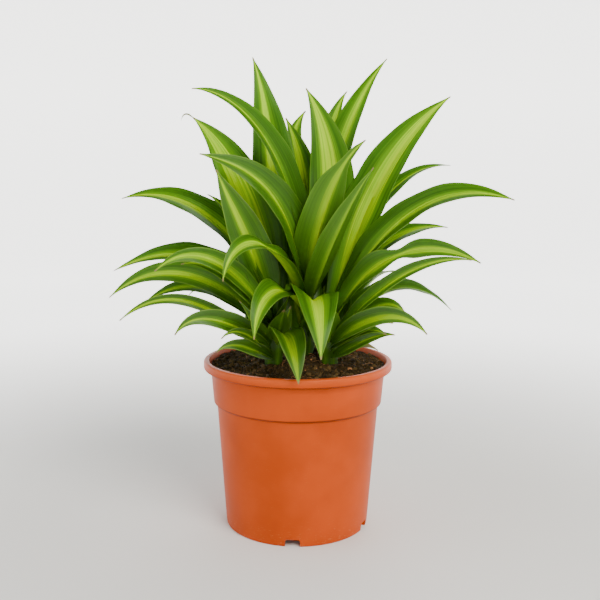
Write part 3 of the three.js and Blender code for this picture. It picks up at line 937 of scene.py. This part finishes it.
STREWN = {"Density": "Float", "Size": "Float", "Seed": "Int", "Finish": "Material"}


def crumb_rule():
    """Uneven crumbs, many small and few large."""
    rule = Rule("Strew crumbs", STREWN)
    radius = rule.given("Size")
    crumb = rule.node("GeometryNodeMeshIcoSphere", {}, {"Radius": radius, "Subdivisions": 1})
    size = drawn(rule, 0.0, 1.0, rule.given("Seed") + 5) ** 4 * 0.78 + 0.22
    crumbs = scattered(rule, crumb, size, (1, 1.15, 0.8), math.pi)
    rule.end(moved_by_noise(rule, crumbs, 620, radius * 0.55))
    return rule


def fibre_rule():
    """Thin bent fibres that lie on the surface."""
    rule = Rule("Strew fibres", STREWN)
    length = rule.given("Size")
    bend = {
        "Resolution": 5,
        "Start": rule.vector(length * -0.5, 0, 0),
        "Middle": rule.vector(0, length * 0.18, length * 0.22),
        "End": rule.vector(length * 0.5, 0, 0),
    }
    line = rule.node("GeometryNodeCurveQuadraticBezier", {}, bend)
    round_wire = {"Resolution": 4, "Radius": 0.22 * MM}
    section = rule.node("GeometryNodeCurvePrimitiveCircle", {"mode": "RADIUS"}, round_wire)
    swept = {"Curve": line, "Profile Curve": section, "Fill Caps": True}
    fibre = rule.node("GeometryNodeCurveToMesh", {}, swept)
    size = drawn(rule, 0.25, 1.0, rule.given("Seed") + 5)
    fibres = scattered(rule, fibre, size, (1, 1, 1), 0.35)
    rule.end(moved_by_noise(rule, fibres, 160, length * 0.3))
    return rule


class DRACAENA_OT_crumbs(bpy.types.Operator):
    """Strews crumbs and fibres of peat over the soil"""

    bl_idname = "dracaena.strew_crumbs"
    bl_label = "Strew Crumbs and Fibres"

    def execute(self, context):
        settings = context.scene.dracaena_soil
        for name, rule, density, size, seed, pale_share in (
            ("peat_crumbs", crumb_rule(), settings.crumbs, settings.crumb_radius, 0, 0.035),
            ("peat_fibres", fibre_rule(), settings.fibres, settings.fibre_length, 20, 0.3),
        ):
            values = {
                "Density": density,
                "Size": size,
                "Seed": settings.seed + seed,
                "Finish": peat(name.replace("_", " "), settings, pale_share),
            }
            piece = rule.applied(name, soil_skin(settings.lumps / MM), values)
            cleaned(piece.data, ALL_SMOOTH)
            dress(piece, None)
        return {"FINISHED"}


# ---- the leafy stems ----


class Rib:
    """The curve that a leaf follows, with even steps and a back that turns with it."""

    def __init__(self, leaf, at, step):
        corners = np.array([(*at, leaf.root), leaf.handle1, leaf.handle2, leaf.tip], float)
        dense = np.linspace(0, 1, 400)
        points = self.bezier(corners, dense)
        run = np.concatenate([[0], np.cumsum(np.linalg.norm(np.diff(points, axis=0), axis=1))])
        self.length = run[-1]
        count = int(np.clip(round(self.length / step), 12, 72))
        self.place = np.linspace(0, 1, count + 1)
        share = np.interp(self.place * self.length, run, dense)
        self.on = self.bezier(corners, share)
        self.ahead = unit(self.slope(corners, share))
        turn = math.radians(leaf.facing)
        self.back = self.carried(np.array([math.cos(turn), math.sin(turn), 0]))
        self.across = np.cross(self.ahead, self.back)

    @staticmethod
    def bezier(corners, share):
        rest = 1 - share
        weights = np.stack([rest**3, 3 * rest**2 * share, 3 * rest * share**2, share**3], 1)
        return weights @ corners

    @staticmethod
    def slope(corners, share):
        rest = 1 - share
        weights = np.stack([rest**2, 2 * rest * share, share**2], 1)
        return weights @ np.diff(corners, axis=0)

    def carried(self, back):
        """The back's direction at each step, carried along without a twist."""
        backs = []
        for ahead in self.ahead:
            back = unit(back - ahead * np.dot(back, ahead))
            backs.append(back)
        return np.array(backs)


def half_width(width, place, base, pinch):
    """Half the width of a blade along its places, drawn in where it is pinched."""
    rising = (width / 2) * (base + (1 - base) * between(0, WIDEST_AT, place))
    past = np.clip((place - WIDEST_AT) / (1 - WIDEST_AT), 0, 1)
    falling = np.maximum(TIP_HALF_WIDTH, (width / 2) * (1 - past * past) ** TAPER)
    half = np.where(place < WIDEST_AT, rising, falling)
    pinched_at, share = pinch
    return half * (1 - share * np.exp(-(((place - pinched_at) / PINCH_REACH) ** 2)))


class Foliage:
    """The points, faces and markings of all the blades of one stem."""

    def __init__(self, settings):
        self.settings = settings
        self.points = []
        self.faces = []
        self.markings = {"blade": [], "blade_look": [], "blade_tone": []}

    def add(self, points, faces, *marks):
        start = sum(len(block) for block in self.points)
        self.points.append(points)
        self.faces.extend([[start + corner for corner in face] for face in faces])
        for blocks, values in zip(self.markings.values(), marks):
            blocks.append(values)

    def blade(self, rib, leaf, phase, draw, age):
        """One blade: a gutter of two bellied halves, with a keel under its rib and a groove above."""
        width = leaf.width
        place = rib.place[:, None]
        base, gutter = (CLASP_BASE, CLASP_GUTTER) if leaf.clasps else (BASE_SHARE, GUTTER)
        half = half_width(width, place, base, leaf.pinch)
        places, degrees = zip(*gutter)
        lean = np.radians(np.interp(place, places, degrees))
        side = np.array(ACROSS)[None, :]
        far = np.abs(side)
        sway = WAVE * width * np.sin(math.pi * place)
        ripple = side * far * sway * np.sin(2 * math.pi * WAVES * place + phase + np.sign(side))
        pucker = np.sin(2 * math.pi * PUCKERS * place + 2 * phase + 2 * side)
        pucker *= far**3 * PUCKER * width * np.sin(math.pi * place)
        belly = far + BELLY * np.sin(math.pi * far)
        sideways = side * half * np.cos(lean)
        rise = -half * np.sin(lean) * belly + ripple + pucker
        on, back, across = (values[:, None, :] for values in (rib.on, rib.back, rib.across))
        middle = on + across * sideways[..., None] + back * rise[..., None]
        along = np.gradient(middle, axis=0)
        over = np.gradient(middle, axis=1)
        normal = unit(np.cross(over, along))
        out = unit(over)
        rib_thick = self.settings.rib_thick / MM
        edge_thick = self.settings.edge_thick / MM
        thin = np.clip(half * 2 / width, THINNEST, 1)
        thick = ((rib_thick + (edge_thick - rib_thick) * far**0.8) * thin)[..., None]
        keel = KEEL * np.exp(-((far * half / KEEL_REACH) ** 2)) * thin * (1 - 0.6 * place)
        groove = GROOVE * np.exp(-((far * half / GROOVE_REACH) ** 2)) * thin
        upper = middle - normal * (thick / 2 - groove[..., None])
        under = middle + normal * (thick / 2 + keel[..., None])
        rims = [
            middle[:, :1] - out[:, :1] * thick[:, :1] / 2,
            middle[:, -1:] + out[:, -1:] * thick[:, -1:] / 2,
        ]
        ring = np.concatenate([upper, rims[1], under[:, ::-1], rims[0]], axis=1)
        self.add_ring(ring, rib, half, leaf, draw, age)

    def add_ring(self, ring, rib, half, leaf, draw, age):
        """A blade's points with the markings that its finish reads: stripe, tip, age and shade."""
        stations, count = ring.shape[:2]
        faces = ring_faces(stations, count, closed=True)
        side = np.array([*ACROSS, 1, *ACROSS[::-1], -1])
        below = np.repeat([0, 0.5, 1, 0.5], [len(ACROSS), 1, len(ACROSS), 1])
        grid = np.ones((stations, count))
        place = rib.place[:, None] * grid
        least = DRY_CURLED if leaf.curl else DRY_LEAST
        dry_length = least + DRY_DRAWN * draw.random() ** 3
        dry = between(1 - dry_length / rib.length, 1 - 0.3 * dry_length / rib.length, place)
        if leaf.withered:
            dry = np.maximum(dry, between(0.1, 0.4, place))
        share = self.settings.stripe_share * leaf.lime * (0.9 + 0.25 * draw.random())
        stripe = share * (0.6 + 0.4 * between(0.05, 0.45, place)) * grid
        seed = draw.random()
        shift = 0.08 * (draw.random() - 0.5) + 0.16 * math.cos(math.radians(leaf.facing))
        blade = np.stack([side * grid + shift, place * rib.length / 100, seed * grid], 2)
        look = np.stack([below * grid, dry, stripe], 2)
        # How much of the crown's painted shade lies on each place: full at the root, none from the share
        # that shaded gives.
        crown_shade = 1 - between(0.05, leaf.shaded, place)
        edge = between(0, 0.8, half * (1 - np.abs(side))[None, :])
        tone = np.stack([age * grid, crown_shade, edge], 2)
        flat = [values.reshape(-1, 3) for values in (ring, blade, look, tone)]
        self.add(flat[0], faces, *flat[1:])

    def curl(self, rib, length):
        """The dried thread at a leaf's tip, which hooks down."""
        steps, sides = CURL_STEPS, CURL_SIDES
        ahead = rib.ahead[-1]
        down = unit(ahead * ahead[2] - np.array([0, 0, 1]))
        side = np.cross(ahead, down)
        points = []
        path = rib.on[-1] - ahead * CURL_OVERLAP
        for i in range(steps + 1):
            share = i / steps
            bend = CURL_TURN * between(0.15, 0.85, share)
            heading = ahead * math.cos(bend) + down * math.sin(bend)
            normal = down * math.cos(bend) - ahead * math.sin(bend)
            radius = CURL_RADIUS * (1 - 0.8 * abs(2 * share - 0.9) ** 1.5) * (1 - share**4) + 0.12
            for j in range(sides):
                angle = 2 * math.pi * j / sides
                spread = side * math.cos(angle) * CURL_BROAD + normal * math.sin(angle) * CURL_FLAT
                points.append(path + spread * radius)
            path = path + heading * length / steps
        faces = ring_faces(steps + 1, sides, closed=True)
        points = np.array(points)
        flat = np.ones((len(points), 3))
        self.add(points, faces, flat * (0.3, 1, 0.4), flat * (0, 0.4, 0.4), flat * (0.6, 0, 1))

    def cane(self, at, crown):
        """The stem itself, ringed by the scars of old leaves above the soil."""
        scars = []
        for i in range(SCAR_EDGES):
            scars.append((STEM_RADIUS + SCAR_DEPTH * (i % 2), SCARS_FROM + SCAR_STEP * i))
        profile = [
            (STEM_RADIUS, STEM_BURIED),
            *[(STEM_RADIUS - 0.05, height) for height in STEM_STRAIGHT_AT],
            *scars,
            (STEM_SWELL_RADIUS - 1, 181),
            (STEM_SWELL_RADIUS, STEM_SWELL),
            ((STEM_SWELL_RADIUS + CROWN_RADIUS) / 2, (STEM_SWELL + crown) / 2),
            (CROWN_RADIUS, crown),
        ]
        rows = [circle(radius, height, STEM_SIDES, at) for radius, height in profile]
        points, faces = through_rings(rows, (*at, STEM_BURIED), (*at, crown + CROWN_RADIUS))
        points = np.array(points, float)
        x, y, height = points.T
        around = np.arctan2(y - at[1], x - at[0])
        flat = np.ones((len(points), 3))
        blade = np.stack([np.sin(3 * around), (height - STEM_NECK) / 100, 0.7 * flat[:, 0]], 1)
        # The stem is marked old and wholly in the crown's painted shade, which also paints dark bands
        # round it.
        self.add(points, faces, blade, flat * (0.3, 0.06, 0.05), flat)

    def mesh(self, name):
        points = np.concatenate(self.points) * MM
        mesh = mesh_from(name, points, self.faces)
        for marking, blocks in self.markings.items():
            layer = mesh.attributes.new(marking, "FLOAT_VECTOR", "POINT")
            layer.data.foreach_set("vector", np.concatenate(blocks).astype(np.float32).ravel())
        return mesh


def clasping_leaves(stem):
    """The short leaves that clasp a stem's foot, upright where they face another stem."""
    leaves = []
    for i in range(CLASP_COUNT):
        facing = stem.turn + i * CLASP_TURN
        root = SOIL_EDGE + CLASP_LOWEST + i * CLASP_RISE
        length = CLASP_LENGTH + i * CLASP_LENGTH_STEP
        room = 0.5 + 0.5 * math.cos(math.radians(facing - stem.open_side))
        spread = CLASP_CROWDED + (CLASP_SPREAD - CLASP_CROWDED) * room
        angle = math.radians(facing)
        corners = []
        for reach, height in CLASP_RIB:
            x = stem.at[0] + reach * spread * math.cos(angle)
            y = stem.at[1] + reach * spread * math.sin(angle)
            corners.append((x, y, root + height * length))
        leaves.append(Leaf(root, *corners, CLASP_WIDTH, facing, lime=0.2, shaded=1.3, clasps=True))
    return leaves


PALE_RIM = (0.3, 0.46, 0.06)
OLD_GREEN = (0.022, 0.042, 0.002)
PALE_BACK = (0.075, 0.17, 0.012)


def leaf_finish(settings):
    """Waxy leaf: green margins, a streaked lime stripe, fine veins, a pale rim, brown tips and painted
    shade towards the root.
    """
    finish = Finish(
        "striped leaf",
        Specular_IOR_Level=0.07,
        Coat_Roughness=0.38,
        Subsurface_Weight=0.12,
        Subsurface_Radius=(1.0, 1.6, 0.25),
        Subsurface_Scale=1.5 * MM,
    )
    side, run, seed = finish.parts(finish.attribute("blade"))
    below, dry, stripe = finish.parts(finish.attribute("blade_look"))
    age, crown_shade, edge = finish.parts(finish.attribute("blade_tone"))

    def grain(across, along, apart, detail=2, roughness=0.5):
        """Noise drawn out along a blade, and other on each blade."""
        place = finish.vector(side * across, run * along, seed * apart)
        return finish.noise(place, 1, detail, roughness)

    wide = grain(5, 0.7, 37)
    streaks = grain(13, 0.55, 53, 3, 0.6)
    veins = grain(46, 0.8, 71)
    lines = grain(17, 0.3, 29, 1)
    patches = grain(2, 4, 19, 3)
    far = abs(side)
    margin = tuple(settings.margin)
    dark = toned(margin, 0.55)
    fresh = toned(margin, (2.1, 1.6, 1.2))
    green = finish.layered(
        dark,
        (streaks.between(0.36, 0.66), margin),
        (veins.between(0.5, 0.75) * 0.4 + (wide - 0.5) * 0.3, fresh),
        (lines.between(0.52, 0.4) * 0.35, fresh),
    )
    lime = tuple(settings.stripe)
    gold = toned(lime, (1.3, 1.1, 2.5))
    leafy = toned(lime, (0.42, 0.6, 0.8))
    bright = finish.layered(
        lime,
        (streaks.between(0.4, 0.7), gold),
        (veins.between(0.52, 0.7) * 0.5, leafy),
        (lines.between(0.5, 0.62) * 0.75, leafy),
    )
    reach = stripe + (streaks - 0.5) * 0.36 + (veins - 0.5) * 0.16 + (wide - 0.5) * 0.2 - far
    inner = reach.between(-0.02, 0.13)
    husk = finish.mix(streaks, linear(78, 70, 40), linear(142, 128, 82))
    colour = finish.layered(
        green,
        (reach.between(-0.3, 0.03) * 0.5, leafy),
        (inner, bright),
        ((1 - far.between(0.02, 0.16)) * 0.35 * (1 - age), gold),
        ((1 - edge) * (0.15 + 0.5 * age), PALE_RIM),
        (age * 0.47, OLD_GREEN),
        # Painted shade: darker towards the root, as far up as the crown's shade reaches, and darker
        # still towards the edges there, where the leaf bases overlap.
        (crown_shade * 0.385, dark),
        (crown_shade * far.between(0.45, 1) * 0.75, toned(dark, 0.3)),
        (below * 0.35, PALE_BACK),
        (patches.between(0.35, 0.7) * 0.12, margin),
        (dry.between(0.05, 0.6), husk),
    )
    finish.feed("Base Color", colour)
    finish.feed("Coat Weight", (1 - inner * 0.8) * (age * 0.5 + 0.06) * (1 - crown_shade * 0.7))
    finish.feed("Roughness", veins * 0.1 + below * 0.12 + dry * 0.3 + (settings.gloss - 0.05))
    finish.bump(veins * 0.7 + streaks * 0.6 + patches * 0.5, 0.35 * MM, 0.45)
    return finish.material


class DRACAENA_OT_stems(bpy.types.Operator):
    """Makes the three leafy stems, blade by blade"""

    bl_idname = "dracaena.make_leafy_stems"
    bl_label = "Make Leafy Stems"

    def execute(self, context):
        settings = context.scene.dracaena_leaf
        material = leaf_finish(settings)
        for node, stem in STEMS.items():
            draw = random.Random(settings.seed + len(node))
            foliage = Foliage(settings)
            foliage.cane(stem.at, stem.crown)
            for index, leaf in enumerate((*stem.leaves, *clasping_leaves(stem))):
                rib = Rib(leaf, stem.at, settings.step / MM)
                by_height = np.clip((YOUNG_ROOT - leaf.root) / AGES_OVER, 0, 1)
                age = float(by_height) if leaf.age is None else leaf.age
                foliage.blade(rib, leaf, NEXT_PHASE * index, draw, age)
                if leaf.curl:
                    foliage.curl(rib, leaf.curl)
            mesh = foliage.mesh(node)
            piece = new_object(node.replace("leafy_stem", "leaves_and_stem"), mesh, material)
            cleaned(piece.data, LEAF_SHARP)
            dress(piece, node)
        return {"FINISHED"}


# ---- stage, light and camera ----

CAMERA_AT = (1.73, -825, 347.5)
CAMERA_PITCH = 8.18
CAMERA_ROLL = 0.427

# The floor is flat out to its radius, and then rises like a bowl.
FLOOR_RADIUS = 2200
BOWL_ROUND = 700
BOWL_HEIGHT = 1500
FLOOR_SIDES = 96

# Where each lamp is and how wide, in metres, its power in watts and its colour.
LAMPS = {
    "key": ((0.8, -1.3, 1.5), 1.0, 48, linear(255, 250, 242)),
    "window": ((-1.2, -0.3, 1.6), 1.0, 6, linear(236, 244, 255)),
    "back": ((0.2, 1.2, 1.7), 0.9, 11, linear(255, 255, 255)),
}
LAMPS_AIM = (0, 0, 0.22)
SKY_STRENGTH = 0.2


def floor_finish(settings):
    """Pale matt studio floor, which glows a little further out."""
    finish = Finish("pale floor", Roughness=0.85, Specular_IOR_Level=0.2, Emission_Strength=2.2)
    place = finish.place()
    colour = tuple(settings.floor)
    finish.feed("Base Color", finish.mix(finish.noise(place, 3), toned(colour, 0.965), colour))
    x, y, _ = finish.parts(place)
    reach = (x * x + y * y) ** 0.5
    behind = (y / reach).between(-0.9, 0.6)
    away = reach.between(0.22, 1.35) * (behind * 0.6 + 0.4)
    finish.feed("Emission Color", finish.mix(away, (0, 0, 0), (1, 1, 0.99)))
    return finish.material


def add_lights(scene, strength):
    world = bpy.data.worlds.new("studio")
    scene.world = world
    world.use_nodes = True
    background = world.node_tree.nodes["Background"]
    background.inputs["Color"].default_value = with_alpha(linear(240, 243, 247))
    background.inputs["Strength"].default_value = SKY_STRENGTH * strength
    for name, (place, size, power, colour) in LAMPS.items():
        light = bpy.data.lights.new(name, "AREA")
        light.size = size
        light.energy = power * strength
        light.color = colour
        lamp = new_object(name, light)
        lamp.location = place
        aim = Vector(LAMPS_AIM) - Vector(place)
        lamp.rotation_mode = "QUATERNION"
        lamp.rotation_quaternion = aim.to_track_quat("-Z", "Y")


def add_camera(scene, lens):
    data = bpy.data.cameras.new("camera")
    data.lens = lens
    data.sensor_width = 36
    data.clip_start = 0.01
    camera = new_object("camera", data)
    pitch, roll = math.radians(CAMERA_PITCH), math.radians(CAMERA_ROLL)
    tilt = Matrix.Rotation(math.pi / 2 - pitch, 4, "X") @ Matrix.Rotation(roll, 4, "Z")
    camera.matrix_world = Matrix.Translation(Vector(CAMERA_AT) * MM) @ tilt
    scene.camera = camera


class DRACAENA_OT_stage(bpy.types.Operator):
    """Makes the pale floor that curves up all round, the soft lights and the camera"""

    bl_idname = "dracaena.make_stage"
    bl_label = "Make Stage"

    def execute(self, context):
        settings = context.scene.dracaena_stage
        bend = arc(FLOOR_RADIUS, BOWL_ROUND, BOWL_ROUND, -90, 0, 16)
        profile = [(FLOOR_RADIUS / 2, 0), *bend, (FLOOR_RADIUS + BOWL_ROUND, BOWL_HEIGHT)]
        rows = [circle(radius, height, FLOOR_SIDES) for radius, height in profile]
        mesh = rings_mesh("floor", rows, (0, 0, 0))
        for polygon in mesh.polygons:
            polygon.use_smooth = True
        floor = new_object("floor", mesh, floor_finish(settings))
        add_lights(context.scene, settings.light)
        add_camera(context.scene, settings.lens)
        return {"FINISHED"}


GROUPS = {
    "dracaena_stage": (StageSettings, DRACAENA_OT_stage),
    "dracaena_pot": (PotSettings, DRACAENA_OT_pot),
    "dracaena_soil": (SoilSettings, DRACAENA_OT_soil, DRACAENA_OT_crumbs),
    "dracaena_leaf": (LeafSettings, DRACAENA_OT_stems),
}


class DRACAENA_PT_panel(bpy.types.Panel):
    """Lists the pieces and their settings."""

    bl_idname = "DRACAENA_PT_panel"
    bl_label = "Potted Dracaena"
    bl_space_type = "VIEW_3D"
    bl_region_type = "UI"
    bl_category = "Dracaena"

    def draw(self, context):
        for group, (_, *operators) in GROUPS.items():
            box = self.layout.box()
            settings = getattr(context.scene, group)
            for name in settings.bl_rna.properties.keys():
                if name not in ("rna_type", "name"):
                    box.prop(settings, name)
            for operator in operators:
                box.operator(operator.bl_idname)


CLASSES = (*[kind for kinds in GROUPS.values() for kind in kinds], DRACAENA_PT_panel)


def register():
    for kind in CLASSES:
        bpy.utils.register_class(kind)
    for group, kinds in GROUPS.items():
        setattr(bpy.types.Scene, group, bpy.props.PointerProperty(type=kinds[0]))


def unregister():
    for group in GROUPS:
        delattr(bpy.types.Scene, group)
    for kind in reversed(CLASSES):
        bpy.utils.unregister_class(kind)


def main():
    register()
    bpy.ops.dracaena.make_stage()
    bpy.ops.dracaena.make_pot()
    bpy.ops.dracaena.make_soil()
    bpy.ops.dracaena.strew_crumbs()
    bpy.ops.dracaena.make_leafy_stems()


if __name__ == "__main__":
    main()
